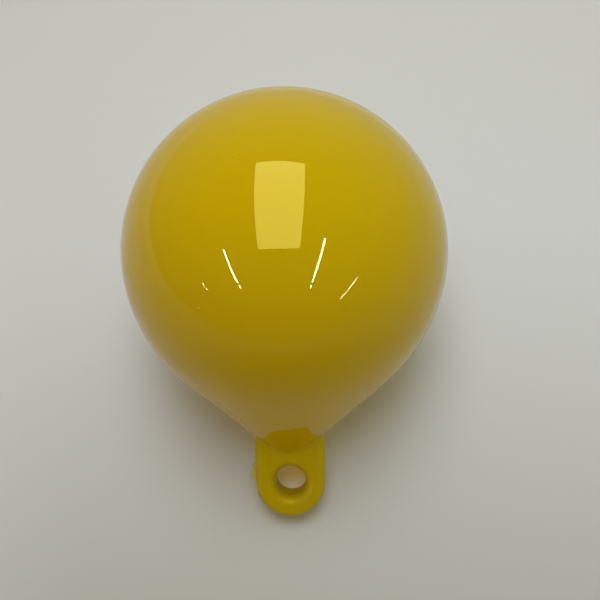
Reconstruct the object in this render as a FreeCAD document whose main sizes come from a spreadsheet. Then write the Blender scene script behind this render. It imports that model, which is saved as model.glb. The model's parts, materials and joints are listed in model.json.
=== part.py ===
"""Anchor marker buoy: a hollow moulded float, the solid mooring eye in its nose and its sealing plug.

Every piece is drawn in the buoy's own frame: the origin is the centre of the ball, the axis of the
float is Z with the eye at the -Z end, and the flat faces of the eye look along Y. One placement
then lays the whole buoy on the ground, where it rests on the face of its sealing plug and on the
tip of its eye.
"""
import FreeCAD, Part
import math
import os

import Sketcher

App = FreeCAD

# name, millimetres or degrees, what it measures
DRIVING_SIZES = [
    ("ball_diameter", 150.0, "outside diameter of the ball"),
    ("shoulder_radius", 85.0, "section radius of the shoulder between ball and cone"),
    ("shoulder_start_angle", 72.0, "where the shoulder leaves the ball, from the axis of the eye"),
    ("cone_half_angle", 49.0, "slope of the cone, from the axis"),
    ("shell_wall", 3.0, "wall of the float"),
    ("nose_block_depth", 26.0, "solid end of the cone, from its apex up to its inner face"),
    ("eye_length", 50.0, "from the inner face of the nose to the tip of the eye"),
    ("eye_width", 33.0, "width of the eye plate"),
    ("eye_thickness", 16.0, "thickness of the eye plate"),
    ("eye_edge_radius", 3.0, "rounding round the outline of the eye plate"),
    ("hole_diameter", 14.5, "bore for the mooring line"),
    ("hole_setback", 17.0, "from the tip of the eye to the centre of the bore"),
    ("hole_rim_radius", 4.0, "rounding of both rims of the bore"),
    ("root_head_diameter", 41.0, "retaining head on the root of the eye"),
    ("root_head_thickness", 5.0, "thickness of that head"),
    ("root_clearance", 0.05, "gap round the root in its slot"),
    ("gate_stub_length", 9.0, "trimmed moulding gate on one edge of the eye"),
    ("gate_stub_reach", 2.8, "how far the gate stub stands out"),
    ("gate_stub_thickness", 1.2, "thickness of the gate stub"),
    ("gate_stub_setback", 20.0, "from the tip of the eye to the middle of the stub"),
    ("plug_inset", 0.4, "flat face of the plug, in from where the round surface would reach"),
    ("plug_head_diameter", 18.0, "head of the sealing plug"),
    ("plug_head_thickness", 2.5, "thickness of that head"),
    ("plug_shank_diameter", 8.0, "shank of the sealing plug"),
    ("plug_shank_length", 7.0, "length of that shank"),
    ("plug_slot_width", 1.6, "coin slot across the head"),
    ("plug_slot_depth", 1.2, "depth of the coin slot"),
    ("plug_clearance", 0.1, "radial gap round the plug in its seat"),
    ("boss_diameter", 24.0, "boss behind the plug seat"),
    ("boss_depth", 9.0, "from the surface of the float to the inner end of the boss"),
]

size = {name: value for name, value, note in DRIVING_SIZES}

# Places that follow from the driving sizes, written for the expression engine
BALL_RADIUS = "(Sizes.ball_diameter / 2)"
APEX = (
    "((Sizes.shoulder_radius - (Sizes.shoulder_radius - Sizes.ball_diameter / 2)"
    " * cos(Sizes.shoulder_start_angle - 90 + Sizes.cone_half_angle))"
    " / sin(Sizes.cone_half_angle))"
)
NOSE_FLOOR = f"({APEX} - Sizes.nose_block_depth)"
EYE_TIP = f"({NOSE_FLOOR} + Sizes.eye_length)"
EYE_SIDE = "(Sizes.eye_width / 2)"
EDGE_CENTRE_ALONG = f"({EYE_TIP} - Sizes.eye_edge_radius)"
EDGE_CENTRE_ACROSS = "(Sizes.eye_thickness / 2 - Sizes.eye_edge_radius)"
SEAT_RADIUS = "(Sizes.plug_head_diameter / 2 + Sizes.plug_clearance)"
SEAT_DEPTH = "(Sizes.plug_inset + Sizes.plug_head_thickness)"
BORE_RADIUS = "(Sizes.plug_shank_diameter / 2 + Sizes.plug_clearance)"

# The buoy leans until the lower edge of the eye's tip meets the ground, and rolls until it sits on
# the flat face of its plug. The plug is in the shoulder, or in the ball if the lean is that small.
SHOULDER_SHIFT = f"(Sizes.shoulder_radius - {BALL_RADIUS})"
SHOULDER_LEAN = "(90 - Sizes.shoulder_start_angle)"


def lean_expression(along, across, height):
    """Lean at which a point at (along, -across) from the centre comes down to that height below it."""
    return f"(asin({height} / sqrt({along} ^ 2 + {across} ^ 2)) - atan({across} / {along}))"


LEAN_ON_BALL = lean_expression(
    EDGE_CENTRE_ALONG,
    EDGE_CENTRE_ACROSS,
    f"({BALL_RADIUS} - Sizes.plug_inset - Sizes.eye_edge_radius)",
)
LEAN_ON_SHOULDER = lean_expression(
    f"({EDGE_CENTRE_ALONG} + {SHOULDER_SHIFT} * sin({SHOULDER_LEAN}))",
    f"({EDGE_CENTRE_ACROSS} + {SHOULDER_SHIFT} * cos({SHOULDER_LEAN}))",
    "(Sizes.shoulder_radius - Sizes.plug_inset - Sizes.eye_edge_radius)",
)
ON_BALL = f"{LEAN_ON_BALL} <= {SHOULDER_LEAN} * 1deg"
LEAN = f"({ON_BALL} ? {LEAN_ON_BALL} : {LEAN_ON_SHOULDER})"
CENTRE_HEIGHT = (
    f"({ON_BALL} ? {BALL_RADIUS} : Sizes.shoulder_radius"
    f" - {SHOULDER_SHIFT} * cos({LEAN_ON_SHOULDER} - {SHOULDER_LEAN} * 1deg)) - Sizes.plug_inset"
)
FRONT_REACH = (
    f"({EDGE_CENTRE_ALONG} * cos({LEAN}) + {EDGE_CENTRE_ACROSS} * sin({LEAN})"
    f" + Sizes.eye_edge_radius)"
)
RESTING_PLACE = (
    f"create(<<placement>>; create(<<vector>>; 0; ({FRONT_REACH} - {BALL_RADIUS}) / 2; {CENTRE_HEIGHT});"
    f" create(<<rotation>>; create(<<vector>>; -1; 0; 0); 90deg - {LEAN}))"
)
# The plug stands square on the surface, at its lowest point
PLUG_OUT = (
    f"({ON_BALL} ? {BALL_RADIUS} * cos({LEAN_ON_BALL}) : Sizes.shoulder_radius * cos({LEAN_ON_SHOULDER})"
    f" - {SHOULDER_SHIFT} * cos({SHOULDER_LEAN}))"
)
PLUG_DOWN = (
    f"({ON_BALL} ? {BALL_RADIUS} * sin({LEAN_ON_BALL}) : Sizes.shoulder_radius * sin({LEAN_ON_SHOULDER})"
    f" - {SHOULDER_SHIFT} * sin({SHOULDER_LEAN}))"
)
PLUG_STATION = (
    f"create(<<placement>>; create(<<vector>>; {PLUG_OUT}; -{PLUG_DOWN}; 0);"
    f" create(<<rotation>>; create(<<vector>>; 0; 0; -1); 90deg + {LEAN}))"
)

doc = App.newDocument("anchor_marker_buoy")


def make_sheet():
    """The driving sizes, one row each: name, number, note."""
    sheet = doc.addObject("Spreadsheet::Sheet", "Sizes")
    for row, (name, value, note) in enumerate(DRIVING_SIZES, start=1):
        sheet.set(f"A{row}", name)
        sheet.set(f"B{row}", str(value))
        sheet.set(f"C{row}", note)
        sheet.setAlias(f"B{row}", name)
    doc.recompute()


def make_body(label):
    body = doc.addObject("PartDesign::Body", label)
    body.Label = label
    body.setExpression("Placement", RESTING_PLACE)
    return body


def make_sketch(body, name, plane_role, offset=None):
    """A sketch on one of the body's own origin planes, moved on it by an expression if one is given."""
    sketch = body.newObject("Sketcher::SketchObject", name)
    plane = next(f for f in body.Origin.OriginFeatures if f.Role == plane_role)
    sketch.AttachmentSupport = [(plane, "")]
    sketch.MapMode = "FlatFace"
    if offset:
        sketch.setExpression("AttachmentOffset", offset)
    return sketch


def measure(sketch, name, expression, kind, *where):
    """A dimension that takes its value from the sheet. The last item of where is its first value."""
    index = sketch.addConstraint(Sketcher.Constraint(kind, *where))
    sketch.renameConstraint(index, name)
    sketch.setExpression(f"Constraints.{name}", expression)


def tie(sketch, kind, *where):
    sketch.addConstraint(Sketcher.Constraint(kind, *where))


def line(sketch, start, end):
    return sketch.addGeometry(Part.LineSegment(App.Vector(*start, 0), App.Vector(*end, 0)))


def arc(sketch, centre, radius, first, last):
    """A counter-clockwise arc between two angles in radians."""
    circle = Part.Circle(App.Vector(*centre, 0), App.Vector(0, 0, 1), radius)
    return sketch.addGeometry(Part.ArcOfCircle(circle, first, last))


def stepped_half_section(sketch, corners, steps):
    """A closed outline of level and upright lines beside the upright axis.

    corners are its points in order, the first one on the axis. steps names the dimension of each
    point but the first: (name, expression, "DistanceX" or "DistanceY"), from the sketch's origin.
    """
    count = len(corners)
    lines = [line(sketch, corners[i], corners[(i + 1) % count]) for i in range(count)]
    for i in range(count):
        tie(sketch, "Coincident", lines[i], 2, lines[(i + 1) % count], 1)
        level = abs(corners[i][1] - corners[(i + 1) % count][1]) < 1e-9
        tie(sketch, "Horizontal" if level else "Vertical", lines[i])
    tie(sketch, "PointOnObject", lines[0], 1, -2)
    for name, expression, kind, corner in steps:
        value = corners[corner][0 if kind == "DistanceX" else 1]
        if value < 0:
            measure(sketch, name, expression, kind, lines[corner], 1, -1, 1, -value)
        else:
            measure(sketch, name, expression, kind, -1, 1, lines[corner], 1, value)


def edges_where(feature, test):
    """Names of a feature's edges that pass a test, for a fillet."""
    return [f"Edge{i}" for i, edge in enumerate(feature.Shape.Edges, start=1) if test(edge)]


def add_fillet(body, name, feature, test, radius):
    doc.recompute()
    fillet = body.newObject("PartDesign::Fillet", name)
    fillet.Base = (feature, edges_where(feature, test))
    fillet.setExpression("Radius", radius)
    return fillet


def add_revolution(body, kind, name, sketch):
    """Turns a section once round the sketch's upright axis, as a Revolution or as a Groove."""
    feature = body.newObject(f"PartDesign::{kind}", name)
    feature.Profile = sketch
    feature.ReferenceAxis = (sketch, ["V_Axis"])
    feature.Angle = 360
    return feature


def section_of_float(body):
    """Half of the float's wall: ball, shoulder and cone outside, and the same less the wall inside."""
    ball = size["ball_diameter"] / 2
    shoulder = size["shoulder_radius"]
    wall = size["shell_wall"]
    start = math.radians(size["shoulder_start_angle"])
    slope = math.radians(size["cone_half_angle"])
    shift = shoulder - ball
    shoulder_centre = (-shift * math.sin(start), shift * math.cos(start))
    apex = (shoulder - shift * math.cos(start - math.pi / 2 + slope)) / math.sin(slope)
    floor = apex - size["nose_block_depth"]

    def shoulder_point(radius, angle):
        return (
            shoulder_centre[0] + radius * math.sin(angle),
            shoulder_centre[1] - radius * math.cos(angle),
        )

    def ball_angle(angle):
        return angle - math.pi / 2

    cone_normal = math.pi / 2 - slope
    cone_top = shoulder_point(shoulder, cone_normal)
    inner_cone_top = shoulder_point(shoulder - wall, cone_normal)
    floor_edge = ((apex - wall / math.sin(slope) - floor) * math.tan(slope), -floor)

    sketch = make_sketch(body, "wall_section", "XZ_Plane")
    outer_ball = arc(sketch, (0, 0), ball, ball_angle(start), math.pi / 2)
    outer_shoulder = arc(sketch, shoulder_centre, shoulder, ball_angle(cone_normal), ball_angle(start))
    outer_cone = line(sketch, cone_top, (0, -apex))
    nose_axis = line(sketch, (0, -apex), (0, -floor))
    nose_floor = line(sketch, (0, -floor), floor_edge)
    inner_cone = line(sketch, floor_edge, inner_cone_top)
    inner_shoulder = arc(
        sketch, shoulder_centre, shoulder - wall, ball_angle(cone_normal), ball_angle(start)
    )
    inner_ball = arc(sketch, (0, 0), ball - wall, ball_angle(start), math.pi / 2)
    crown_axis = line(sketch, (0, ball - wall), (0, ball))

    tie(sketch, "Coincident", outer_ball, 3, -1, 1)
    tie(sketch, "Coincident", inner_ball, 3, -1, 1)
    tie(sketch, "Tangent", outer_ball, 1, outer_shoulder, 2)
    tie(sketch, "Tangent", outer_shoulder, 1, outer_cone, 1)
    tie(sketch, "Coincident", outer_cone, 2, nose_axis, 1)
    tie(sketch, "Coincident", nose_axis, 2, nose_floor, 1)
    tie(sketch, "Coincident", nose_floor, 2, inner_cone, 1)
    tie(sketch, "Tangent", inner_cone, 2, inner_shoulder, 1)
    tie(sketch, "Tangent", inner_shoulder, 2, inner_ball, 1)
    tie(sketch, "Coincident", inner_shoulder, 3, outer_shoulder, 3)
    tie(sketch, "Coincident", inner_ball, 2, crown_axis, 1)
    tie(sketch, "Coincident", crown_axis, 2, outer_ball, 2)
    tie(sketch, "PointOnObject", nose_axis, 1, -2)
    tie(sketch, "PointOnObject", nose_axis, 2, -2)
    tie(sketch, "PointOnObject", crown_axis, 1, -2)
    tie(sketch, "PointOnObject", crown_axis, 2, -2)
    tie(sketch, "Horizontal", nose_floor)

    shoulder_spoke = sketch.addGeometry(
        Part.LineSegment(App.Vector(0, 0, 0), App.Vector(ball * math.sin(start), -ball * math.cos(start), 0)),
        True,
    )
    tie(sketch, "Coincident", shoulder_spoke, 1, -1, 1)
    tie(sketch, "Coincident", shoulder_spoke, 2, outer_ball, 1)
    measure(sketch, "ball", BALL_RADIUS, "Radius", outer_ball, ball)
    measure(sketch, "ball_inside", f"{BALL_RADIUS} - Sizes.shell_wall", "Radius", inner_ball, ball - wall)
    measure(sketch, "shoulder", "Sizes.shoulder_radius", "Radius", outer_shoulder, shoulder)
    measure(
        sketch,
        "shoulder_start",
        "Sizes.shoulder_start_angle",
        "Angle",
        nose_axis,
        2,
        shoulder_spoke,
        1,
        start,
    )
    measure(sketch, "slope", "Sizes.cone_half_angle", "Angle", outer_cone, 2, nose_axis, 1, slope)
    measure(sketch, "floor", NOSE_FLOOR, "DistanceY", nose_floor, 1, -1, 1, floor)
    return sketch


def rounded_slot(body):
    """Cross-section of the eye plate with its clearance, which the slot in the nose has."""
    half_width = size["eye_width"] / 2 + size["root_clearance"]
    half_depth = size["eye_thickness"] / 2 + size["root_clearance"]
    corner = size["eye_edge_radius"] + size["root_clearance"]
    sketch = make_sketch(body, "eye_slot_section", "XY_Plane")
    x_in, y_in = half_width - corner, half_depth - corner
    outline = []
    for turn, (cx, cy) in enumerate([(x_in, y_in), (-x_in, y_in), (-x_in, -y_in), (x_in, -y_in)]):
        first = turn * math.pi / 2
        outline.append(arc(sketch, (cx, cy), corner, first, first + math.pi / 2))
    top = line(sketch, (x_in, half_depth), (-x_in, half_depth))
    left = line(sketch, (-half_width, y_in), (-half_width, -y_in))
    bottom = line(sketch, (-x_in, -half_depth), (x_in, -half_depth))
    right = line(sketch, (half_width, -y_in), (half_width, y_in))
    for corner_arc, side_in, side_out in zip(
        outline, [right, top, left, bottom], [top, left, bottom, right]
    ):
        tie(sketch, "Tangent", side_in, 2, corner_arc, 1)
        tie(sketch, "Tangent", corner_arc, 2, side_out, 1)
    for corner_arc in outline[1:]:
        tie(sketch, "Equal", outline[0], corner_arc)
    tie(sketch, "Horizontal", top)
    tie(sketch, "Horizontal", bottom)
    tie(sketch, "Vertical", left)
    tie(sketch, "Vertical", right)
    tie(sketch, "Symmetric", outline[0], 3, outline[2], 3, -1, 1)
    gap = "Sizes.root_clearance"
    measure(sketch, "corner", f"Sizes.eye_edge_radius + {gap}", "Radius", outline[0], corner)
    measure(sketch, "width", f"Sizes.eye_width + 2 * {gap}", "DistanceX", left, 1, right, 2, 2 * half_width)
    measure(
        sketch, "depth", f"Sizes.eye_thickness + 2 * {gap}", "DistanceY", bottom, 1, top, 2, 2 * half_depth
    )
    return sketch


def make_float_shell():
    """Seamless hollow float with a solid nose, the slot for the eye and the seat for the plug."""
    body = make_body("float_shell")
    section = section_of_float(body)
    add_revolution(body, "Revolution", "float_wall", section)

    # The boss starts inside the wall, so that it never shows outside
    wall_middle = size["shell_wall"] / 2
    radius = size["boss_diameter"] / 2
    depth = size["boss_depth"]
    boss = make_sketch(body, "plug_boss_section", "YZ_Plane", PLUG_STATION)
    stepped_half_section(
        boss,
        [(0, -depth), (radius, -depth), (radius, -wall_middle), (0, -wall_middle)],
        [
            ("radius", "Sizes.boss_diameter / 2", "DistanceX", 1),
            ("inner_end", "Sizes.boss_depth", "DistanceY", 1),
            ("root", "Sizes.shell_wall / 2", "DistanceY", 2),
        ],
    )
    add_revolution(body, "Revolution", "plug_boss", boss)

    # The seat is open outwards by a head's thickness and through the boss inwards by as much
    seat_radius = size["plug_head_diameter"] / 2 + size["plug_clearance"]
    seat_depth = size["plug_inset"] + size["plug_head_thickness"]
    bore_radius = size["plug_shank_diameter"] / 2 + size["plug_clearance"]
    over = size["plug_head_thickness"]
    seat = make_sketch(body, "plug_seat_section", "YZ_Plane", PLUG_STATION)
    stepped_half_section(
        seat,
        [
            (0, -depth - over),
            (bore_radius, -depth - over),
            (bore_radius, -seat_depth),
            (seat_radius, -seat_depth),
            (seat_radius, over),
            (0, over),
        ],
        [
            ("bore", BORE_RADIUS, "DistanceX", 1),
            ("bore_end", "Sizes.boss_depth + Sizes.plug_head_thickness", "DistanceY", 1),
            ("seat_depth", SEAT_DEPTH, "DistanceY", 3),
            ("seat", SEAT_RADIUS, "DistanceX", 3),
            ("mouth", "Sizes.plug_head_thickness", "DistanceY", 4),
        ],
    )
    add_revolution(body, "Groove", "plug_seat", seat)

    doc.recompute()
    whole = body.Shape.Volume
    slot = body.newObject("PartDesign::Pocket", "eye_slot")
    slot.Profile = rounded_slot(body)
    slot.Type = "Length"
    slot.setExpression("Length", f"{EYE_TIP}")
    doc.recompute()
    if body.Shape.Volume >= whole:
        raise RuntimeError("the slot for the eye cuts nothing")
    return body


def outline_of_eye(body):
    """The eye plate from the front: straight sides down to a round end."""
    side = size["eye_width"] / 2
    shoulder = size["shoulder_radius"]
    slope = math.radians(size["cone_half_angle"])
    start = math.radians(size["shoulder_start_angle"])
    shift = shoulder - size["ball_diameter"] / 2
    apex = (shoulder - shift * math.cos(start - math.pi / 2 + slope)) / math.sin(slope)
    floor = apex - size["nose_block_depth"]
    tip = floor + size["eye_length"]
    root = floor - size["root_head_thickness"]

    sketch = make_sketch(body, "eye_outline", "XZ_Plane")
    end = arc(sketch, (0, side - tip), side, math.pi, 2 * math.pi)
    right = line(sketch, (side, side - tip), (side, -root))
    top = line(sketch, (side, -root), (-side, -root))
    left = line(sketch, (-side, -root), (-side, side - tip))
    tie(sketch, "Tangent", end, 2, right, 1)
    tie(sketch, "Coincident", right, 2, top, 1)
    tie(sketch, "Coincident", top, 2, left, 1)
    tie(sketch, "Tangent", left, 2, end, 1)
    tie(sketch, "Vertical", right)
    tie(sketch, "Horizontal", top)
    tie(sketch, "PointOnObject", end, 3, -2)
    measure(sketch, "end", EYE_SIDE, "Radius", end, side)
    measure(sketch, "end_centre", f"{EYE_TIP} - {EYE_SIDE}", "DistanceY", end, 3, -1, 1, tip - side)
    measure(sketch, "root", f"{NOSE_FLOOR} - Sizes.root_head_thickness", "DistanceY", top, 1, -1, 1, root)
    return sketch, floor, tip


def make_mooring_eye():
    """Solid eye: a thick plate with a rounded outline and a bore, held by the head on its root."""
    body = make_body("mooring_eye")
    sketch, floor, tip = outline_of_eye(body)
    plate = body.newObject("PartDesign::Pad", "eye_plate")
    plate.Profile = sketch
    plate.SideType = "Symmetric"
    plate.setExpression("Length", "Sizes.eye_thickness")

    face = size["eye_thickness"] / 2
    root = -(floor - size["root_head_thickness"])

    def on_a_face(edge):
        return all(abs(abs(v.Point.y) - face) < 1e-6 for v in edge.Vertexes)

    def outline_edge(edge):
        return on_a_face(edge) and edge.CenterOfMass.z < root - 1e-6

    add_fillet(body, "eye_edge", plate, outline_edge, "Sizes.eye_edge_radius")

    bore_sketch = make_sketch(body, "bore_section", "XZ_Plane")
    radius = size["hole_diameter"] / 2
    centre = tip - size["hole_setback"]
    circle = bore_sketch.addGeometry(
        Part.Circle(App.Vector(0, -centre, 0), App.Vector(0, 0, 1), radius)
    )
    tie(bore_sketch, "PointOnObject", circle, 3, -2)
    measure(bore_sketch, "bore", "Sizes.hole_diameter / 2", "Radius", circle, radius)
    measure(
        bore_sketch, "bore_centre", f"{EYE_TIP} - Sizes.hole_setback", "DistanceY", circle, 3, -1, 1, centre
    )
    bore = body.newObject("PartDesign::Pocket", "bore")
    bore.Profile = bore_sketch
    bore.SideType = "Symmetric"
    bore.setExpression("Length", "2 * Sizes.eye_thickness")
    doc.recompute()

    def bore_rim(edge):
        if not isinstance(edge.Curve, Part.Circle):
            return False
        return abs(edge.Curve.Radius - radius) < 1e-6 and abs(edge.Curve.Center.z + centre) < 1e-6

    add_fillet(body, "bore_rim", bore, bore_rim, "Sizes.hole_rim_radius")

    # The trimmed gate of the mould is a thin tab with sloping ends on the -X edge
    side = size["eye_width"] / 2
    reach = size["gate_stub_reach"]
    half = size["gate_stub_length"] / 2
    middle = -(tip - size["gate_stub_setback"])
    stub_sketch = make_sketch(body, "gate_stub_section", "XZ_Plane")
    inner, outer = -side + reach, -side - reach
    slant = reach
    points = [(inner, middle + half), (outer, middle + half - slant), (outer, middle - half + slant)]
    points.append((inner, middle - half))
    sides = [line(stub_sketch, points[i], points[(i + 1) % 4]) for i in range(4)]
    for i in range(4):
        tie(stub_sketch, "Coincident", sides[i], 2, sides[(i + 1) % 4], 1)
    tie(stub_sketch, "Vertical", sides[1])
    tie(stub_sketch, "Vertical", sides[3])
    tie(stub_sketch, "Equal", sides[0], sides[2])
    measure(
        stub_sketch,
        "foot",
        f"{EYE_SIDE} - Sizes.gate_stub_reach",
        "DistanceX",
        sides[3],
        1,
        -1,
        1,
        -inner,
    )
    measure(
        stub_sketch, "crest", f"{EYE_SIDE} + Sizes.gate_stub_reach", "DistanceX", sides[1], 1, -1, 1, -outer
    )
    measure(
        stub_sketch, "foot_length", "Sizes.gate_stub_length", "DistanceY", sides[3], 1, sides[3], 2, 2 * half
    )
    measure(
        stub_sketch,
        "crest_length",
        "Sizes.gate_stub_length - 2 * Sizes.gate_stub_reach",
        "DistanceY",
        sides[1],
        2,
        sides[1],
        1,
        2 * (half - slant),
    )
    measure(
        stub_sketch,
        "low_corner",
        f"{EYE_TIP} - Sizes.gate_stub_setback + Sizes.gate_stub_length / 2",
        "DistanceY",
        sides[3],
        1,
        -1,
        1,
        half - middle,
    )
    stub = body.newObject("PartDesign::Pad", "gate_stub")
    stub.Profile = stub_sketch
    stub.SideType = "Symmetric"
    stub.setExpression("Length", "Sizes.gate_stub_thickness")

    # The head bears on the inner face of the nose and carries the pull of the mooring line
    head_sketch = make_sketch(
        body,
        "root_head_section",
        "XY_Plane",
        f"create(<<placement>>; create(<<vector>>; 0; 0; -{NOSE_FLOOR});"
        " create(<<rotation>>; create(<<vector>>; 0; 0; 1); 0deg))",
    )
    head_radius = size["root_head_diameter"] / 2
    head_circle = head_sketch.addGeometry(Part.Circle(App.Vector(0, 0, 0), App.Vector(0, 0, 1), head_radius))
    tie(head_sketch, "Coincident", head_circle, 3, -1, 1)
    measure(head_sketch, "head", "Sizes.root_head_diameter / 2", "Radius", head_circle, head_radius)
    head = body.newObject("PartDesign::Pad", "root_head")
    head.Profile = head_sketch
    head.setExpression("Length", "Sizes.root_head_thickness")
    return body


def make_sealing_plug():
    """Screwed plug that closes the float, with a coin slot, its flat face level with the skin."""
    body = make_body("sealing_plug")
    head_radius = size["plug_head_diameter"] / 2
    shank_radius = size["plug_shank_diameter"] / 2
    top = -size["plug_inset"]
    seat = top - size["plug_head_thickness"]
    end = seat - size["plug_shank_length"]
    sketch = make_sketch(body, "plug_section", "YZ_Plane", PLUG_STATION)
    stepped_half_section(
        sketch,
        [(0, end), (shank_radius, end), (shank_radius, seat), (head_radius, seat), (head_radius, top), (0, top)],
        [
            ("shank", "Sizes.plug_shank_diameter / 2", "DistanceX", 1),
            ("shank_end", f"{SEAT_DEPTH} + Sizes.plug_shank_length", "DistanceY", 1),
            ("seat", SEAT_DEPTH, "DistanceY", 3),
            ("head", "Sizes.plug_head_diameter / 2", "DistanceX", 3),
            ("face", "Sizes.plug_inset", "DistanceY", 4),
        ],
    )
    turned = add_revolution(body, "Revolution", "plug_turned", sketch)

    slot_sketch = make_sketch(body, "coin_slot_section", "YZ_Plane", PLUG_STATION)
    half = size["plug_slot_width"] / 2
    bottom = top - size["plug_slot_depth"]
    mouth = 0.0
    points = [(-half, bottom), (half, bottom), (half, mouth), (-half, mouth)]
    sides = [line(slot_sketch, points[i], points[(i + 1) % 4]) for i in range(4)]
    for i in range(4):
        tie(slot_sketch, "Coincident", sides[i], 2, sides[(i + 1) % 4], 1)
    tie(slot_sketch, "Horizontal", sides[0])
    tie(slot_sketch, "Vertical", sides[1])
    tie(slot_sketch, "Vertical", sides[3])
    tie(slot_sketch, "PointOnObject", sides[2], 1, -1)
    tie(slot_sketch, "Symmetric", sides[2], 1, sides[2], 2, -2)
    measure(slot_sketch, "width", "Sizes.plug_slot_width", "DistanceX", sides[0], 1, sides[0], 2, 2 * half)
    measure(
        slot_sketch,
        "depth",
        "Sizes.plug_inset + Sizes.plug_slot_depth",
        "DistanceY",
        sides[0],
        1,
        -1,
        1,
        -bottom,
    )
    slot = body.newObject("PartDesign::Pocket", "coin_slot")
    slot.Profile = slot_sketch
    slot.SideType = "Symmetric"
    slot.setExpression("Length", "2 * Sizes.plug_head_diameter")

    def shank_tip(edge):
        if not isinstance(edge.Curve, Part.Circle):
            return False
        return abs(edge.Curve.Radius - shank_radius) < 1e-6 and edge.Curve.Center.isEqual(tip_centre, 1e-6)

    doc.recompute()
    tip_centre = sketch.Placement.multVec(App.Vector(0, end, 0))
    chamfer = body.newObject("PartDesign::Chamfer", "shank_lead")
    chamfer.Base = (slot, edges_where(slot, shank_tip))
    chamfer.setExpression("Size", "Sizes.plug_shank_diameter / 8")
    return body


def check_document():
    """Stops if any object failed, or a piece isn't one valid solid."""
    for item in doc.Objects:
        if "Invalid" in item.State or "Error" in item.State:
            raise RuntimeError(f"{item.Name} did not compute: {item.State}")
    for body in doc.findObjects("PartDesign::Body"):
        shape = body.Shape
        if shape.isNull() or not shape.isValid() or len(shape.Solids) != 1:
            raise RuntimeError(f"{body.Label} is not one valid solid")


make_sheet()
pieces = [make_float_shell(), make_mooring_eye(), make_sealing_plug()]
doc.recompute()
check_document()

os.makedirs("parts", exist_ok=True)
for piece in pieces:
    piece.Shape.exportStep(os.path.join("parts", f"{piece.Label}.step"))
    box = piece.Shape.BoundBox
    print(
        f"{piece.Label}: {piece.Shape.Volume / 1000:.2f} cm3,"
        f" x {box.XMin:.2f} {box.XMax:.2f}, y {box.YMin:.2f} {box.YMax:.2f}, z {box.ZMin:.2f} {box.ZMax:.2f}"
    )
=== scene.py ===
import json
import math

import bmesh
import bpy
from mathutils import Matrix, Quaternion, Vector
from mathutils.bvhtree import BVHTree


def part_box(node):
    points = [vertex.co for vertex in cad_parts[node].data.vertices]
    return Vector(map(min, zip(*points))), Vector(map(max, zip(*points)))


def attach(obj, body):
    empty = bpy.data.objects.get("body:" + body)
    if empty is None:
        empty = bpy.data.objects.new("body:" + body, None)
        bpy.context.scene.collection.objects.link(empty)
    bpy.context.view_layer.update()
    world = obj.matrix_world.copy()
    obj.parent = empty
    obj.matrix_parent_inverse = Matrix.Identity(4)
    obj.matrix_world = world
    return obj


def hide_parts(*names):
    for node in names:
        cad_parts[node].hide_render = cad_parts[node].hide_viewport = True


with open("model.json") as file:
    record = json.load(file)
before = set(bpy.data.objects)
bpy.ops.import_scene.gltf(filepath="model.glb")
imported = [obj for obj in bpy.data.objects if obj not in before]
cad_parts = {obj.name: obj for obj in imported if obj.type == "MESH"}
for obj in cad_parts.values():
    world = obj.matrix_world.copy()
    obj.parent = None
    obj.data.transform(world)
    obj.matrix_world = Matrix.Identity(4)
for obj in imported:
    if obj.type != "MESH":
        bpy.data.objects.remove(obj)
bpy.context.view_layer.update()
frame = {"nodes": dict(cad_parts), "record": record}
print("frame loaded:", ", ".join(sorted(frame["nodes"])))


# where the buoy lies, read from the frame
shellLow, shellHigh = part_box("float_shell")
plugLow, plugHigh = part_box("sealing_plug")
boreMount = frame["record"]["mounts"][0]

ballRadius = (shellHigh.x - shellLow.x) / 2
ballCentre = Vector((0, shellHigh.y - ballRadius, shellHigh.z - ballRadius))
boreCentre = Vector(boreMount["pos_m"])
boreRadius = boreMount["dims"]["r_mm"] / 1000
faceUp = Vector(boreMount["axis"])  # out of the upper face of the eye
eyeAxis = (boreCentre - ballCentre).normalized()
across = faceUp.cross(eyeAxis)
boreAlong = (boreCentre - ballCentre).length

# the buoy's own frame: ball centre at the origin, eye along -Z, upper face of the eye along -Y
layDown = Matrix.Translation(ballCentre) @ Matrix((across, -faceUp, -eyeAxis)).transposed().to_4x4()

touching = 1e-6          # points nearer than this are one point
sharpTurn = 1.0          # two faces that turn by more than this meet in a real edge, in radians
lyingFlat = 0.99999      # a face counts as level from this cosine on
noiseSpan = (0.3, 0.7)   # where most of a noise pattern's values lie


def newMaterial(name):
    material = bpy.data.materials.new(name)
    material.use_nodes = True
    material.node_tree.nodes.clear()
    return material


def addNode(material, kind, inputs=None, **settings):
    node = material.node_tree.nodes.new(kind)
    for key, value in settings.items():
        setattr(node, key, value)
    for key, value in (inputs or {}).items():
        node.inputs[key].default_value = value
    return node


def join(material, source, target):
    material.node_tree.links.new(source, target)


def addPiece(name, shape, material, node):
    mesh = bpy.data.meshes.new(name)
    shape.to_mesh(mesh)
    shape.free()
    mesh.materials.append(material)
    for polygon in mesh.polygons:
        polygon.use_smooth = True
    piece = bpy.data.objects.new(name, mesh)
    bpy.context.scene.collection.objects.link(piece)
    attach(piece, "root")
    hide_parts(node)
    print(name, "has", len(mesh.polygons), "faces")
    return piece


def holdFlats(piece):
    normals = piece.modifiers.new("flat faces stay flat", "WEIGHTED_NORMAL")
    normals.mode = "FACE_AREA"
    normals.keep_sharp = True


# the edges at some vertices, each one once
def edgesAt(vertices):
    return list(dict.fromkeys(edge for v in vertices for edge in v.link_edges))


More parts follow.
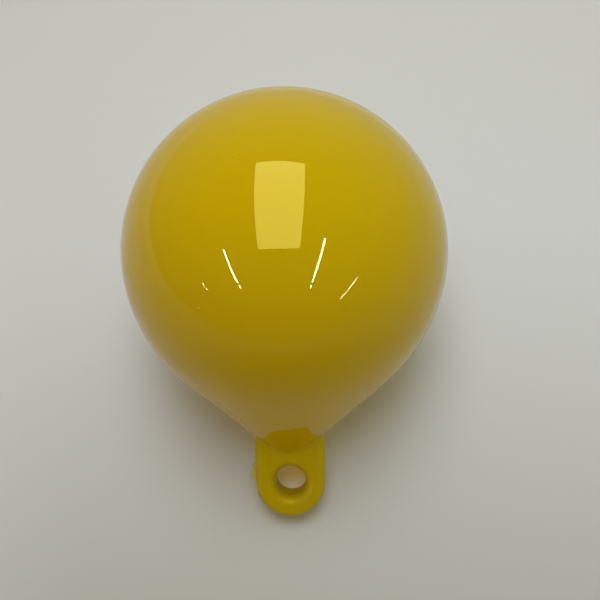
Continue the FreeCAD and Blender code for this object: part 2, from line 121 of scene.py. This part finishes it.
floatValues = {
    "shoulderRadius": 0.085,   # section radius between ball and cone
    "shoulderStart": 72.0,     # degrees from the axis of the eye
    "coneHalfAngle": 49.0,
    "noseEnd": 0.098,          # the cone stops here, inside the solid eye
    "aroundSteps": 192,
    "ballSteps": 84,
    "shoulderSteps": 16,
    "coneSteps": 14,
    "seatGap": 0.0001,         # round the head of the plug
    "seatRim": 0.0002,         # broken edge of the seat
    "seatDepth": 0.0029,
    "seatSteps": 96,
    "seatClear": 1.18,         # the skin's own points stay this many seat radii away
    # the skin
    "colour": (0.52, 0.346, 0.0008, 1),
    "shade": (0.49, 0.322, 0.0004, 1),   # the cloudy parts of the pigment
    "clouds": {"Scale": 9.0, "Detail": 3.0, "Roughness": 0.5},
    "gloss": 0.007,                    # roughness of the clean skin
    "worn": 0.02,                      # where it was handled
    "wear": {"Scale": 26.0, "Detail": 5.0, "Roughness": 0.62},
    "wornFrom": 0.45,                  # shares of the wear pattern
    "wornTo": 0.8,
    "scratched": 0.14,                 # roughness in the hairlines
    "scratchShare": 0.56,              # more leaves fewer of them
    "scratches": {"Scale": 14.0, "Detail": 1.5, "Distortion": 0.6},
    "scratchStretch": {"Scale": (1.0, 3.0, 0.6), "Rotation": (0.5, 0.9, 0.3)},
    "scratchWidth": 0.0009,            # share of the pattern's height
    "speck": (0.16, 0.10, 0.004, 1),   # grit moulded in
    "speckDots": (75.0, 0.00022, 0.05, (0.013, 0.027, 0.005)),   # cells a metre, radius, share, shift
    "paleSpot": (0.66, 0.56, 0.16, 1),    # pale round spots, lighter than the skin
    "paleSpotDots": (55.0, 0.0003, 0.06, (0.41, 0.23, 0.17)),
    "ripples": {"Scale": 30.0, "Detail": 1.0},
    "rippleStrength": 0.0006,
    "rippleDepth": 0.01,
    "ior": 1.5,
    "glint": (1.0, 0.93, 0.15, 1),     # highlights take the colour of the skin
}


# sparse round dots: a random share of the cells of a grid has one
def dots(material, place, perMetre, radius, share, shift):
    move = addNode(material, "ShaderNodeMapping", {"Location": shift})
    cells = addNode(material, "ShaderNodeTexVoronoi", {"Scale": perMetre})
    near = addNode(material, "ShaderNodeMath", {1: radius * perMetre}, operation="LESS_THAN")
    pick = addNode(material, "ShaderNodeSeparateColor")
    chosen = addNode(material, "ShaderNodeMath", {1: share}, operation="LESS_THAN")
    both = addNode(material, "ShaderNodeMath", operation="MULTIPLY")
    join(material, place, move.inputs["Vector"])
    join(material, move.outputs["Vector"], cells.inputs["Vector"])
    join(material, cells.outputs["Distance"], near.inputs[0])
    join(material, cells.outputs["Color"], pick.inputs["Color"])
    join(material, pick.outputs["Red"], chosen.inputs[0])
    join(material, near.outputs["Value"], both.inputs[0])
    join(material, chosen.outputs["Value"], both.inputs[1])
    return both.outputs["Value"]


# thin lines where a stretched, crumpled field passes its middle
def hairlines(material, place, stretch, pattern, width):
    move = addNode(material, "ShaderNodeMapping", stretch)
    field = addNode(material, "ShaderNodeTexNoise", pattern)
    off = addNode(material, "ShaderNodeMath", {1: 0.5}, operation="SUBTRACT")
    size = addNode(material, "ShaderNodeMath", operation="ABSOLUTE")
    line = addNode(material, "ShaderNodeMath", {1: width}, operation="LESS_THAN")
    join(material, place, move.inputs["Vector"])
    join(material, move.outputs["Vector"], field.inputs["Vector"])
    join(material, field.outputs["Fac"], off.inputs[0])
    join(material, off.outputs["Value"], size.inputs[0])
    join(material, size.outputs["Value"], line.inputs[0])
    return line.outputs["Value"]


def mixColour(material, factor, first, second):
    mix = addNode(material, "ShaderNodeMix", data_type="RGBA")
    join(material, factor, mix.inputs[0])
    for socket, colour in ((mix.inputs[6], first), (mix.inputs[7], second)):   # its colours A and B
        if hasattr(colour, "is_output"):
            join(material, colour, socket)
        else:
            socket.default_value = colour
    return mix.outputs[2]   # its colour


def floatSkin():
    values = floatValues
    skin = newMaterial("float_skin")
    place = addNode(skin, "ShaderNodeTexCoord").outputs["Object"]
    clouds = addNode(skin, "ShaderNodeTexNoise", values["clouds"])
    wear = addNode(skin, "ShaderNodeTexNoise", values["wear"])
    ripples = addNode(skin, "ShaderNodeTexNoise", values["ripples"])
    for texture in (clouds, wear, ripples):
        join(skin, place, texture.inputs["Vector"])
    tint = mixColour(skin, clouds.outputs["Fac"], values["colour"], values["shade"])
    tint = mixColour(skin, dots(skin, place, *values["speckDots"]), tint, values["speck"])
    # scattered pale round spots, lighter than the skin
    tint = mixColour(skin, dots(skin, place, *values["paleSpotDots"]), tint, values["paleSpot"])
    lines = hairlines(skin, place, values["scratchStretch"], values["scratches"], values["scratchWidth"])
    broken = addNode(skin, "ShaderNodeMath", {1: values["scratchShare"]}, operation="GREATER_THAN")
    scratches = addNode(skin, "ShaderNodeMath", operation="MULTIPLY")
    rough = addNode(skin, "ShaderNodeMapRange", {
        "From Min": values["wornFrom"], "From Max": values["wornTo"],
        "To Min": values["gloss"], "To Max": values["worn"]})
    scored = addNode(skin, "ShaderNodeMix", {3: values["scratched"]}, data_type="FLOAT")   # 2 and 3: A and B
    bump = addNode(skin, "ShaderNodeBump", {
        "Strength": values["rippleStrength"], "Distance": values["rippleDepth"]})
    shader = addNode(skin, "ShaderNodeBsdfPrincipled", {
        "IOR": values["ior"], "Specular Tint": values["glint"]})
    output = addNode(skin, "ShaderNodeOutputMaterial")
    join(skin, tint, shader.inputs["Base Color"])
    join(skin, wear.outputs["Fac"], rough.inputs["Value"])
    join(skin, rough.outputs["Result"], scored.inputs[2])
    join(skin, wear.outputs["Fac"], broken.inputs[0])
    join(skin, broken.outputs["Value"], scratches.inputs[0])
    join(skin, lines, scratches.inputs[1])
    join(skin, scratches.outputs["Value"], scored.inputs[0])
    join(skin, scored.outputs[0], shader.inputs["Roughness"])
    join(skin, ripples.outputs["Fac"], bump.inputs["Height"])
    join(skin, bump.outputs["Normal"], shader.inputs["Normal"])
    join(skin, shader.outputs["BSDF"], output.inputs["Surface"])
    return skin


# a moulded plastic: patches change its colour and its gloss a little, and a fine grain roughens it
def satinPlastic(name, values):
    plastic = newMaterial(name)
    place = addNode(plastic, "ShaderNodeTexCoord").outputs["Object"]
    patches = addNode(plastic, "ShaderNodeTexNoise", values["patches"])
    grain = addNode(plastic, "ShaderNodeTexNoise", values["grain"])
    share = addNode(plastic, "ShaderNodeMapRange", {
        "From Min": values["patchRange"][0], "From Max": values["patchRange"][1]})
    rough = addNode(plastic, "ShaderNodeMapRange", {
        "From Min": noiseSpan[0], "From Max": noiseSpan[1],
        "To Min": values["satin"][0], "To Max": values["satin"][1]})
    bump = addNode(plastic, "ShaderNodeBump", {
        "Strength": values["grainStrength"], "Distance": values["grainDepth"]})
    shader = addNode(plastic, "ShaderNodeBsdfPrincipled", {
        "IOR": values["ior"], "Specular Tint": values["glint"]})
    output = addNode(plastic, "ShaderNodeOutputMaterial")
    for texture in (patches, grain):
        join(plastic, place, texture.inputs["Vector"])
    join(plastic, patches.outputs["Fac"], share.inputs["Value"])
    tint = mixColour(plastic, share.outputs["Result"], values["colour"], values["patchColour"])
    join(plastic, tint, shader.inputs["Base Color"])
    join(plastic, patches.outputs["Fac"], rough.inputs["Value"])
    join(plastic, rough.outputs["Result"], shader.inputs["Roughness"])
    join(plastic, grain.outputs["Fac"], bump.inputs["Height"])
    join(plastic, bump.outputs["Normal"], shader.inputs["Normal"])
    join(plastic, shader.outputs["BSDF"], output.inputs["Surface"])
    return plastic


# the ball runs into the shoulder and the shoulder into the cone with no corner, and the sides of
# the cone would meet apexAlong from the middle of the ball
shoulderShift = floatValues["shoulderRadius"] - ballRadius
shoulderStart = math.radians(floatValues["shoulderStart"])
coneSlope = math.radians(floatValues["coneHalfAngle"])
apexAlong = (
    floatValues["shoulderRadius"] - shoulderShift * math.sin(shoulderStart + coneSlope)) / math.sin(coneSlope)


def lastVertex(result):
    return next(item for item in result["geom_last"] if isinstance(item, bmesh.types.BMVert))


def turnFloat():
    values = floatValues
    coneTop = math.pi / 2 - coneSlope   # the shoulder turns into the cone here, from the axis
    shoulderCentre = Vector(
        (-shoulderShift * math.sin(shoulderStart), 0, shoulderShift * math.cos(shoulderStart)))
    shape = bmesh.new()
    crown = shape.verts.new((0, 0, ballRadius))
    ball = bmesh.ops.spin(
        shape, geom=[crown], cent=(0, 0, 0), axis=(0, 1, 0),
        angle=math.pi - shoulderStart, steps=values["ballSteps"])
    shoulder = bmesh.ops.spin(
        shape, geom=[lastVertex(ball)], cent=shoulderCentre, axis=(0, 1, 0),
        angle=shoulderStart - coneTop, steps=values["shoulderSteps"])
    edge = lastVertex(shoulder)
    share = (values["noseEnd"] + edge.co.z) / (apexAlong + edge.co.z)
    step = (Vector((0, 0, -apexAlong)) - edge.co) * share / values["coneSteps"]
    for i in range(values["coneSteps"]):
        edge = bmesh.ops.extrude_vert_indiv(shape, verts=[edge])["verts"][0]
        edge.co += step
    nose = bmesh.ops.extrude_vert_indiv(shape, verts=[edge])["verts"][0]
    nose.co.x = 0
    bmesh.ops.spin(
        shape, geom=shape.verts[:] + shape.edges[:], cent=(0, 0, 0), axis=(0, 0, 1),
        angle=2 * math.pi, steps=values["aroundSteps"], use_merge=True)
    bmesh.ops.remove_doubles(shape, verts=shape.verts, dist=touching)
    bmesh.ops.transform(shape, matrix=layDown, verts=shape.verts)
    bmesh.ops.recalc_face_normals(shape, faces=shape.faces)
    return shape


def cutPlugSeat(shape):
    values = floatValues
    surface = BVHTree.FromBMesh(shape)
    middle = (plugLow + plugHigh) / 2
    headRadius = (plugHigh.x - plugLow.x) / 2
    seatRadius = headRadius + values["seatGap"] + values["seatRim"]
    clear = seatRadius * values["seatClear"]

    def distance(point):
        return math.hypot(point.x - middle.x, point.y - middle.y)

    inside = [v for v in shape.verts if v.co.z < plugHigh.z and distance(v.co) < clear]
    touched = {face for v in inside for face in v.link_faces}
    rimEdges = [e for e in shape.edges if len(touched.intersection(e.link_faces)) == 1]
    bmesh.ops.delete(shape, geom=inside, context="VERTS")
    ring = bmesh.ops.create_circle(
        shape, segments=values["seatSteps"], radius=seatRadius, matrix=Matrix.Translation(middle))["verts"]
    for v in ring:
        v.co.z = surface.ray_cast(Vector((v.co.x, v.co.y, -ballRadius)), Vector((0, 0, 1)))[0].z
    ringEdges = edgesAt(ring)
    for edge in ringEdges:
        edge.smooth = False   # the skin beside the seat keeps its own round shading
    bmesh.ops.bridge_loops(shape, edges=[e for e in rimEdges if e.is_valid] + ringEdges)
    loop = ringEdges
    rimWallAndFloor = ((values["seatRim"], values["seatRim"]), (0, values["seatDepth"]), (headRadius / 2, 0))
    for inset, level in rimWallAndFloor:
        grown = bmesh.ops.extrude_edge_only(shape, edges=loop)["geom"]
        loop = [item for item in grown if isinstance(item, bmesh.types.BMEdge)]
        for v in [item for item in grown if isinstance(item, bmesh.types.BMVert)]:
            out = Vector((v.co.x - middle.x, v.co.y - middle.y, 0))
            v.co -= out.normalized() * inset
            v.co.z += level
    bmesh.ops.edgeloop_fill(shape, edges=loop)
    bmesh.ops.recalc_face_normals(shape, faces=shape.faces)


floatBody = turnFloat()
cutPlugSeat(floatBody)
addPiece("float_skin_turned", floatBody, floatSkin(), "float_shell")


eyeValues = {
    "width": 0.033,
    "thickness": 0.016,
    "boreSetback": 0.017,     # from the tip to the middle of the bore
    "edgeRadius": 0.003,
    "rimRadius": 0.004,
    "rootRadius": 0.003,      # the soft root where the plate leaves the cone
    "drawnFrom": 0.0863,      # the plate is drawn from here, from the middle of the ball,
    "rootAlong": 0.0963,      # and cut off square here before it flows into the cone
    "sunk": 0.0008,           # the end of the soft root turns down into the nose
    "roundSteps": 10,
    "endSteps": 64,
    "sideSteps": 3,
    "rootSteps": 28,
    "boreSteps": 96,
    "throughCuts": 3,
    "rootRounds": 16,
    "faceMargin": 0.0004,     # a narrow border keeps the flat faces flat in the light
    # its plastic
    "colour": (0.48, 0.348, 0.0008, 1),
    "patchColour": (0.45, 0.32, 0.0006, 1),
    "patches": {"Scale": 40.0, "Detail": 3.0},
    "patchRange": (0.0, 1.0),          # of the pattern, from no patch to a full one
    "satin": (0.24, 0.36),             # roughness, from and to
    "grain": {"Scale": 420.0, "Detail": 3.0},
    "grainStrength": 0.05,
    "grainDepth": 0.0004,
    "ior": 1.35,
    "glint": (1.0, 0.93, 0.15, 1),
}


def drawPlate():
    values = eyeValues
    side = values["width"] / 2
    face = -values["thickness"] / 2
    end = -(boreAlong + values["boreSetback"] - side)
    plate = bmesh.new()
    corner = plate.verts.new((-side, face, -values["drawnFrom"]))
    for i in range(values["sideSteps"]):
        corner = bmesh.ops.extrude_vert_indiv(plate, verts=[corner])["verts"][0]
        corner.co.z += (end + values["drawnFrom"]) / values["sideSteps"]
    turned = bmesh.ops.spin(
        plate, geom=[corner], cent=(0, face, end), axis=(0, -1, 0), angle=math.pi, steps=values["endSteps"])
    corner = lastVertex(turned)
    for i in range(values["sideSteps"]):
        corner = bmesh.ops.extrude_vert_indiv(plate, verts=[corner])["verts"][0]
        corner.co.z -= (end + values["drawnFrom"]) / values["sideSteps"]
    flat = side - values["edgeRadius"] - values["faceMargin"]   # the rounded edges stay clear of these points
    for x in [flat * (1 - 2 * i / values["rootSteps"]) for i in range(values["rootSteps"] + 1)] + [-side]:
        corner = bmesh.ops.extrude_vert_indiv(plate, verts=[corner])["verts"][0]
        corner.co.x = x
    bmesh.ops.remove_doubles(plate, verts=plate.verts, dist=touching)
    outline = plate.edges[:]
    turn = Matrix.Translation((0, face, -boreAlong)) @ Matrix.Rotation(math.pi / 2, 4, "X")
    rim = bmesh.ops.create_circle(
        plate, segments=values["boreSteps"], radius=boreRadius, matrix=turn)["verts"]
    bmesh.ops.bridge_loops(plate, edges=outline + edgesAt(rim))
    bmesh.ops.recalc_face_normals(plate, faces=plate.faces)
    bmesh.ops.solidify(plate, geom=plate.faces, thickness=values["thickness"])
    return plate


def isSharp(edge):
    return len(edge.link_faces) == 2 and edge.calc_face_angle() > sharpTurn


def atStart(edge):
    return all(abs(v.co.z + eyeValues["drawnFrom"]) < touching for v in edge.verts)


def roundPlate(plate):
    values = eyeValues
    low = min(v.co.y for v in plate.verts)
    high = max(v.co.y for v in plate.verts)
    centre = Vector((0, -boreAlong))

    def onOneFace(edge):
        return any(all(abs(v.co.y - level) < touching for v in edge.verts) for level in (low, high))

    def onBore(edge):
        return all(abs((v.co.xz - centre).length - boreRadius) < touching for v in edge.verts)

    flatEdges = [e for e in plate.edges if onOneFace(e) and isSharp(e) and not atStart(e)]
    rims = [e for e in flatEdges if onBore(e)]
    sides = [e for e in flatEdges if e not in rims]
    for edges, radius in ((sides, values["edgeRadius"]), (rims, values["rimRadius"])):
        bmesh.ops.bevel(
            plate, geom=edges, offset=radius, offset_type="OFFSET", affect="EDGES",
            segments=values["roundSteps"], profile=0.5, material=-1, clamp_overlap=False)


# extrudes a loop and tells which vertex each new one came from
def growLoop(shape, loop):
    grown = bmesh.ops.extrude_edge_only(shape, edges=loop)["geom"]
    edges = [item for item in grown if isinstance(item, bmesh.types.BMEdge)]
    fresh = {item for item in grown if isinstance(item, bmesh.types.BMVert)}
    sources = {v: next(e.other_vert(v) for e in v.link_edges if e.other_vert(v) not in fresh) for v in fresh}
    return edges, sources


# the open root runs up to the cone, and a ball of rootRadius rolled round it gives its soft crease
def flowRoot(plate):
    values = eyeValues
    inX = values["width"] / 2 - values["edgeRadius"]
    inY = values["thickness"] / 2 - values["edgeRadius"]
    radius = values["rootRadius"]
    bmesh.ops.bisect_plane(
        plate, geom=plate.verts[:] + plate.edges[:] + plate.faces[:],
        plane_co=(0, 0, -values["rootAlong"]), plane_no=(0, 0, 1), clear_outer=True)
    through = [e for e in plate.edges if abs(abs(e.verts[0].co.y - e.verts[1].co.y) - 2 * inY) < touching]
    bmesh.ops.subdivide_edges(plate, edges=through, cuts=values["throughCuts"])
    loop, sources = growLoop(plate, [e for e in plate.edges if e.is_boundary])
    rolled = {}
    for v in sources:
        flat = Vector((v.co.x, v.co.y, 0))
        core = Vector((max(-inX, min(inX, flat.x)), max(-inY, min(inY, flat.y)), 0))
        out = (flat - core).normalized()
        middle = flat + out * radius
        coneOut = middle.normalized() * math.cos(coneSlope) - Vector((0, 0, math.sin(coneSlope)))
        middle.z = -(apexAlong + radius / math.sin(coneSlope) - middle.length / math.tan(coneSlope))
        v.co.z = middle.z
        rolled[v] = (middle, out, coneOut)
    for i in range(values["rootRounds"]):
        loop, sources = growLoop(plate, loop)
        rolled = {v: rolled[source] for v, source in sources.items()}
        for v, (middle, out, coneOut) in rolled.items():
            v.co = middle + (-out).slerp(-coneOut, (i + 1) / values["rootRounds"]) * radius
    for edge in loop:
        edge.smooth = False
    loop, sources = growLoop(plate, loop)
    for v, source in sources.items():
        v.co -= rolled[source][2] * values["sunk"]
    bmesh.ops.edgeloop_fill(plate, edges=loop)
    bmesh.ops.recalc_face_normals(plate, faces=plate.faces)
    faces = [face for face in plate.faces if abs(face.normal.y) > lyingFlat]
    bmesh.ops.inset_region(
        plate, faces=faces, thickness=values["faceMargin"], use_even_offset=True, use_boundary=True)
    bmesh.ops.transform(plate, matrix=layDown, verts=plate.verts)


eyePlate = drawPlate()
roundPlate(eyePlate)
flowRoot(eyePlate)
eyePlastic = satinPlastic("eye_plastic", eyeValues)
holdFlats(addPiece("mooring_eye_plate", eyePlate, eyePlastic, "mooring_eye"))


gateValues = {
    "length": 0.0094,
    "reach": 0.0028,
    "slant": 0.0016,          # each end slopes in by this much
    "thickness": 0.0012,
    "setback": 0.020,         # from the tip to the middle of the stub
    "sunk": 0.0006,           # into the edge of the eye
    "torn": 0.00011,          # the break is uneven by this much,
    "tornWaves": ((11, 0, 1.0), (37, 1, 0.7)),   # in waves: rate, shift and height
    "shoulder": 0.11,         # it stands further out towards the tip,
    "shoulderRate": 14,       # past a step this steep
    "edgeRadius": 0.00035,
    "edgeSteps": 3,
    "alongSteps": 28,
    "outSteps": 5,
    # its plastic
    "colour": (0.49, 0.41, 0.055, 1),
    "patchColour": (0.55, 0.50, 0.16, 1),   # plastic goes pale where it was bent and torn
    "patches": {"Scale": 520.0, "Detail": 3.0},
    "patchRange": (0.0, 1.0),
    "satin": (0.42, 0.62),
    "grain": {"Scale": 1800.0, "Detail": 2.0},
    "grainStrength": 0.3,
    "grainDepth": 0.0002,
    "ior": eyeValues["ior"],
    "glint": (1.0, 1.0, 1.0, 1),
}


def tearGate():
    values = gateValues
    side = eyeValues["width"] / 2
    middle = boreAlong + eyeValues["boreSetback"] - values["setback"]
    shape = bmesh.new()
    bmesh.ops.create_grid(shape, x_segments=values["alongSteps"], y_segments=values["outSteps"], size=0.5)
    for v in shape.verts:
        share = v.co.x
        out = v.co.y + 0.5
        uneven = sum(height * math.sin(rate * share + shift) for rate, shift, height in values["tornWaves"])
        step = 1 + values["shoulder"] * math.tanh(values["shoulderRate"] * share)
        reach = values["reach"] * step + values["torn"] * uneven
        along = middle + share * (values["length"] - 2 * values["slant"] * out)
        v.co = (-(side - values["sunk"] + out * (reach + values["sunk"])), values["thickness"] / 2, -along)
    bmesh.ops.recalc_face_normals(shape, faces=shape.faces)
    bmesh.ops.solidify(shape, geom=shape.faces, thickness=values["thickness"])
    middleY = (min(v.co.y for v in shape.verts) + max(v.co.y for v in shape.verts)) / 2
    for v in shape.verts:
        v.co.y -= middleY
    edges = [e for e in shape.edges if isSharp(e)]
    bmesh.ops.bevel(
        shape, geom=edges, offset=values["edgeRadius"], offset_type="OFFSET", affect="EDGES",
        segments=values["edgeSteps"], profile=0.5, material=-1, clamp_overlap=True)
    bmesh.ops.transform(shape, matrix=layDown, verts=shape.verts)
    bmesh.ops.recalc_face_normals(shape, faces=shape.faces)
    return shape


tornPlastic = satinPlastic("torn_plastic", gateValues)
holdFlats(addPiece("gate_stub_torn", tearGate(), tornPlastic, "mooring_eye"))


plugValues = {
    "colour": (0.47, 0.31, 0.004, 1),
    "patchColour": (0.52, 0.38, 0.05, 1),   # rubbed by what it lies on
    "patches": {"Scale": 260.0, "Detail": 4.0, "Roughness": 0.65},
    "patchRange": (0.52, 0.75),
    "satin": (0.30, 0.46),
    "grain": {"Scale": 260.0, "Detail": 4.0, "Roughness": 0.65},   # the rubs can be felt
    "grainStrength": 0.15,
    "grainDepth": 0.0002,
    "ior": eyeValues["ior"],
    "glint": (1.0, 1.0, 1.0, 1),
}

plugPlastic = satinPlastic("plug_plastic", plugValues)
for slot in frame["nodes"]["sealing_plug"].material_slots:
    slot.material = plugPlastic
print("plug dressed")


stageValues = {
    "tableColour": (0.595, 0.605, 0.63, 1),
    "tableRough": 0.7,
    "tableSheen": 0.25,
    "tableHalf": 6.0,
    "pale": (0.55, 0.55, 0.49, 1),      # what the table and the room fade to, further off
    "fadeFrom": 0.45,
    "fadeTo": 1.1,
    "shade": (-0.15, 0.20, -0.60, -0.12),    # x from, to, y from, to: it keeps some light off the eye
    "shadeHeight": 0.34,
    "shadeColour": (0.03, 0.03, 0.03, 1),
}
roomValues = {
    "walls": {                # the light that comes from each side, by the way it lies
        (0, -1): (0.70, 0.55, 0.25),   # past the eye
        (1, 0): (0.55, 0.55, 0.30),
        (0, 1): (0.60, 0.60, 0.50),    # past the ball
        (-1, 0): (0.45, 0.35, 0.15),
    },
    "wallHeight": 14.0,       # degrees over the table
    "wallTightness": 2.0,     # less spreads each wall's light wider
}
lampValues = {
    "height": 1.18,           # of the ceiling lamps over the table
    "panel": (-0.26, 0.325, -0.615, 0.585),   # x from, to, y from, to
    "panelLevel": 4.3,        # radiance, where 1 is white
    "panelColour": (0.95, 1.01, 1.08),
    "shineLevel": 5.8,        # of the same panel in its glossy image
    "shineColour": (1.0, 0.96, 1.2),
    "shineDrop": 0.001,       # it hangs just below the panel
    "tubes": (                # x, y from, to
        (-0.85, -1.38, -0.6), (-0.84, -1.6, -1.48),
        (0.7, -1.42, -0.45), (0.71, -1.65, -1.54),
        (-2.4, -2.05, -1.7), (2.5, -3.0, -1.7),
    ),
    "tubeWidth": 0.03,
    "tubeLevel": 70.0,
    "tubeColour": (1.0, 1.0, 2.4),
    "through": (              # light that comes down through the soft plastic, on to the table alone:
        (0.021, 0.020, 0.045, (0.32, 0.19, 0.0)),   # how far from the ball towards the eye, height,
        (0.061, 0.015, 0.020, (0.24, 0.17, 0.03)),   # radius and colour
        (0.087, 0.009, 0.010, (0.46, 0.24, 0.0)),
    ),
}


def addSheet(name, left, right, near, far, height, material):
    shape = bmesh.new()
    turn = Matrix.Translation(((left + right) / 2, (near + far) / 2, height))
    stretch = Matrix.Diagonal(((right - left) / 2, (far - near) / 2, 1, 1))
    bmesh.ops.create_grid(shape, x_segments=1, y_segments=1, size=1, matrix=turn @ stretch)
    mesh = bpy.data.meshes.new(name)
    shape.to_mesh(mesh)
    shape.free()
    mesh.materials.append(material)
    sheet = bpy.data.objects.new(name, mesh)
    bpy.context.scene.collection.objects.link(sheet)
    return sheet


def layTable():
    values = stageValues
    laminate = newMaterial("pale_table")
    place = addNode(laminate, "ShaderNodeTexCoord").outputs["Object"]
    distance = addNode(laminate, "ShaderNodeVectorMath", operation="LENGTH")
    fade = addNode(laminate, "ShaderNodeMapRange", {
        "From Min": values["fadeFrom"], "From Max": values["fadeTo"]})
    rays = addNode(laminate, "ShaderNodeLightPath")
    seen = addNode(laminate, "ShaderNodeMath", operation="MAXIMUM")
    share = addNode(laminate, "ShaderNodeMath", operation="MULTIPLY")
    shader = addNode(laminate, "ShaderNodeBsdfPrincipled", {
        "Base Color": values["tableColour"], "Roughness": values["tableRough"],
        "Specular IOR Level": values["tableSheen"]})
    far = addNode(laminate, "ShaderNodeEmission", {"Color": values["pale"]})
    either = addNode(laminate, "ShaderNodeMixShader")
    output = addNode(laminate, "ShaderNodeOutputMaterial")
    join(laminate, place, distance.inputs[0])
    join(laminate, distance.outputs["Value"], fade.inputs["Value"])
    join(laminate, rays.outputs["Is Camera Ray"], seen.inputs[0])
    join(laminate, rays.outputs["Is Glossy Ray"], seen.inputs[1])
    join(laminate, fade.outputs["Result"], share.inputs[0])
    join(laminate, seen.outputs["Value"], share.inputs[1])
    join(laminate, share.outputs["Value"], either.inputs["Fac"])
    join(laminate, shader.outputs["BSDF"], either.inputs[1])
    join(laminate, far.outputs["Emission"], either.inputs[2])
    join(laminate, either.outputs["Shader"], output.inputs["Surface"])
    half = values["tableHalf"]
    table = addSheet("table", -half, half, -half, half, 0, laminate)
    return table


def holdShade():
    values = stageValues
    dark = newMaterial("dark_shade")
    shader = addNode(dark, "ShaderNodeBsdfDiffuse", {"Color": values["shadeColour"]})
    output = addNode(dark, "ShaderNodeOutputMaterial")
    join(dark, shader.outputs["BSDF"], output.inputs["Surface"])
    shade = addSheet("shade", *values["shade"], values["shadeHeight"], dark)
    shade.visible_camera = False
    shade.visible_glossy = False


def hangLamp(name, left, right, near, far, level, colour):
    lamp = bpy.data.lights.new(name, "AREA")
    lamp.shape = "RECTANGLE"
    lamp.size = right - left
    lamp.size_y = far - near
    lamp.energy = level * math.pi * lamp.size * lamp.size_y   # watts, from the radiance
    lamp.color = colour
    item = bpy.data.objects.new(name, lamp)
    item.location = ((left + right) / 2, (near + far) / 2, lampValues["height"])
    bpy.context.scene.collection.objects.link(item)
    return item


def glowThrough(table):
    onlyTable = bpy.data.collections.new("only_the_table")
    onlyTable.objects.link(table)
    for i, (along, height, radius, colour) in enumerate(lampValues["through"]):
        lamp = bpy.data.lights.new(f"through_{i}", "AREA")
        lamp.shape = "DISK"
        lamp.size = 2 * radius
        lamp.energy = math.pi * math.pi * radius ** 2   # a radiance of 1 times the colour
        lamp.color = colour
        item = bpy.data.objects.new(f"through_{i}", lamp)
        item.location = (0, ballCentre.y - along, height)
        item.visible_camera = False
        item.visible_glossy = False
        item.light_linking.receiver_collection = onlyTable
        item.light_linking.blocker_collection = onlyTable
        bpy.context.scene.collection.objects.link(item)


def lightRoom():
    values = roomValues
    lamps = lampValues
    panel = hangLamp("panel", *lamps["panel"], lamps["panelLevel"], lamps["panelColour"])
    panel.visible_glossy = False
    shine = hangLamp("panel_shine", *lamps["panel"], lamps["shineLevel"], lamps["shineColour"])
    shine.location.z -= lamps["shineDrop"]
    shine.visible_diffuse = False
    half = lamps["tubeWidth"] / 2
    for i, (x, near, far) in enumerate(lamps["tubes"]):
        tube = hangLamp(f"tube_{i}", x - half, x + half, near, far, lamps["tubeLevel"], lamps["tubeColour"])
        tube.visible_diffuse = False
    room = bpy.data.worlds.new("room")
    bpy.context.scene.world = room
    room.use_nodes = True
    background = room.node_tree.nodes["Background"]
    towards = addNode(room, "ShaderNodeTexCoord").outputs["Generated"]
    total = None
    rise = math.radians(values["wallHeight"])
    for (x, y), colour in values["walls"].items():
        middle = (x * math.cos(rise), y * math.cos(rise), math.sin(rise))
        near = addNode(room, "ShaderNodeVectorMath", {1: middle}, operation="DOT_PRODUCT")
        ahead = addNode(room, "ShaderNodeMath", {1: 0.0}, operation="MAXIMUM")
        narrow = addNode(room, "ShaderNodeMath", {1: values["wallTightness"]}, operation="POWER")
        lit = addNode(room, "ShaderNodeVectorMath", {0: colour}, operation="SCALE")
        join(room, towards, near.inputs[0])
        join(room, near.outputs["Value"], ahead.inputs[0])
        join(room, ahead.outputs["Value"], narrow.inputs[0])
        join(room, narrow.outputs["Value"], lit.inputs["Scale"])
        if total:
            both = addNode(room, "ShaderNodeVectorMath", operation="ADD")
            join(room, total, both.inputs[0])
            join(room, lit.outputs["Vector"], both.inputs[1])
            total = both.outputs["Vector"]
        else:
            total = lit.outputs["Vector"]
    rays = addNode(room, "ShaderNodeLightPath")
    shown = mixColour(room, rays.outputs["Is Camera Ray"], total, stageValues["pale"])
    join(room, shown, background.inputs["Color"])


cameraValues = {
    "place": (0.030, -0.1647, 0.3615),
    "aim": (0.0066, -0.0034, 0.0642),
    "roll": -8.4,
    "lens": 43.4,
    "sensor": 36.0,
    "nearest": 0.01,
}


def setCamera():
    values = cameraValues
    lens = bpy.data.cameras.new("camera")
    lens.lens = values["lens"]
    lens.sensor_width = values["sensor"]
    lens.clip_start = values["nearest"]
    camera = bpy.data.objects.new("camera", lens)
    place = Vector(values["place"])
    look = (Vector(values["aim"]) - place).to_track_quat("-Z", "Y")
    camera.rotation_mode = "QUATERNION"
    camera.rotation_quaternion = look @ Quaternion((0, 0, 1), math.radians(values["roll"]))
    camera.location = place
    bpy.context.scene.collection.objects.link(camera)
    bpy.context.scene.camera = camera


table = layTable()
holdShade()
glowThrough(table)
lightRoom()
setCamera()
bpy.context.scene.view_settings.view_transform = "Standard"
print("table, lights and camera set")
